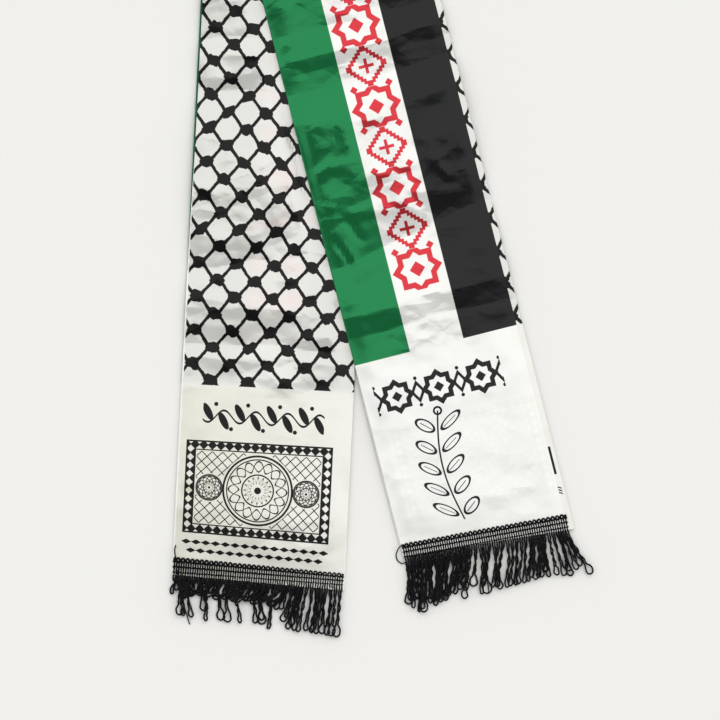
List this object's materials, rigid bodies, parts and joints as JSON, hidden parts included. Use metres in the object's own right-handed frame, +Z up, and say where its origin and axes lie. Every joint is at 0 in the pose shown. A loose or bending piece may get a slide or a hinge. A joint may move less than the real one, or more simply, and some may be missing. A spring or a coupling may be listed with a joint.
{
  "type": "flag scarf",
  "caption": "Long satin scarf with a flag-banded face, a fishnet-printed face and loop fringes, folded once across and laid flat in a narrow V.",
  "frame": {"origin": "middle of the underside of the laid scarf", "axes": "+Y from the fringed ends towards the fold, +X across the scarf to the flag stretch's side, +Z up off the surface it lies on"},
  "size_m": [0.3454, 0.7042, 0.0079],
  "materials": {
    "flag_satin": "printed polyester satin with green, white and black bands, glossy and softly creased",
    "net_satin": "white polyester satin printed with a black fishnet, glossy and softly creased",
    "fringe_yarn": "black twisted yarn, matt with a slight sheen"
  },
  "bodies": {
    "root": {"flag_panel": "flag_satin", "net_panel": "net_satin", "net_end_fringe": "fringe_yarn", "flag_end_fringe": "fringe_yarn"}
  },
  "joints": []
}
